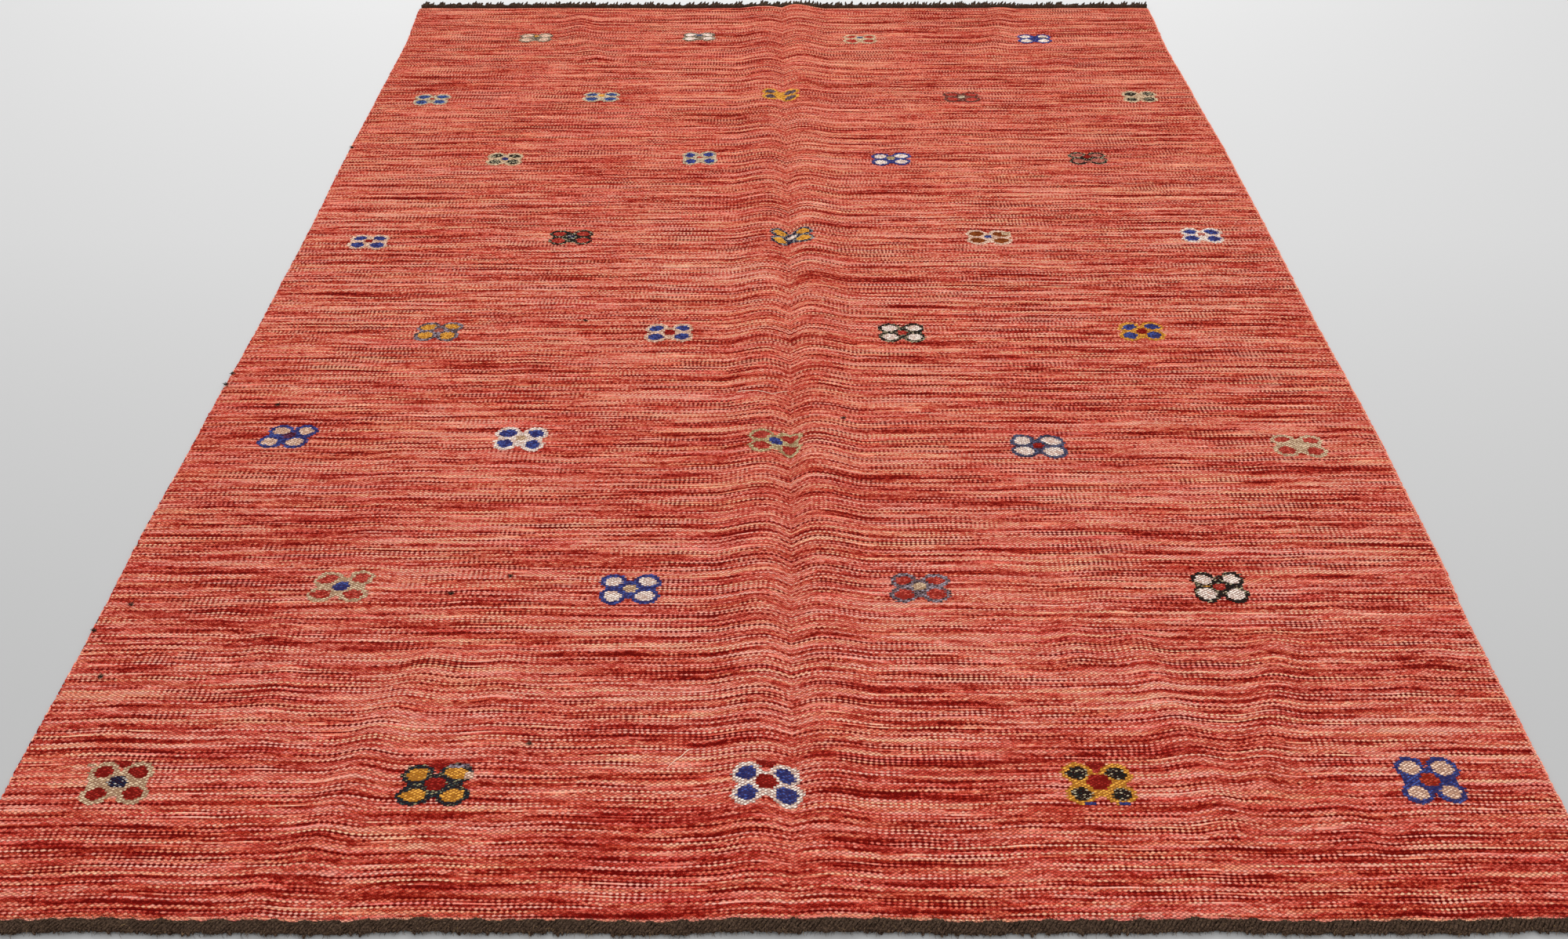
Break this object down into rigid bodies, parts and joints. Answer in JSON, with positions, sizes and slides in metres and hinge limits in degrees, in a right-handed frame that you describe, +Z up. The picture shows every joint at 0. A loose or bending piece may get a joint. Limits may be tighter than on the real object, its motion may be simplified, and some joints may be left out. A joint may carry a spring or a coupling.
{
  "type": "kilim rug",
  "caption": "Large flat-woven wool rug lying on the floor, with a lengthwise fold crease, woven-in four-petal flowers and a short plaited warp finish along each end.",
  "frame": {"origin": "the middle of the rug's footprint, on the floor", "axes": "+X across the rug, to the right as seen from its near end; +Y along the rug, from its near end to its far end; +Z up"},
  "size_m": [2.0098, 3.052, 0.0207],
  "materials": {
    "woven_wool": "matt hand-spun wool in a coarse weft-faced flat weave, madder red with uneven dye",
    "warp_wool": "matt dark brown undyed wool, plaited, with short cut ends"
  },
  "bodies": {
    "root": {"kilim_cloth": "woven_wool", "near_end_plait": "warp_wool", "far_end_plait": "warp_wool"}
  },
  "joints": []
}
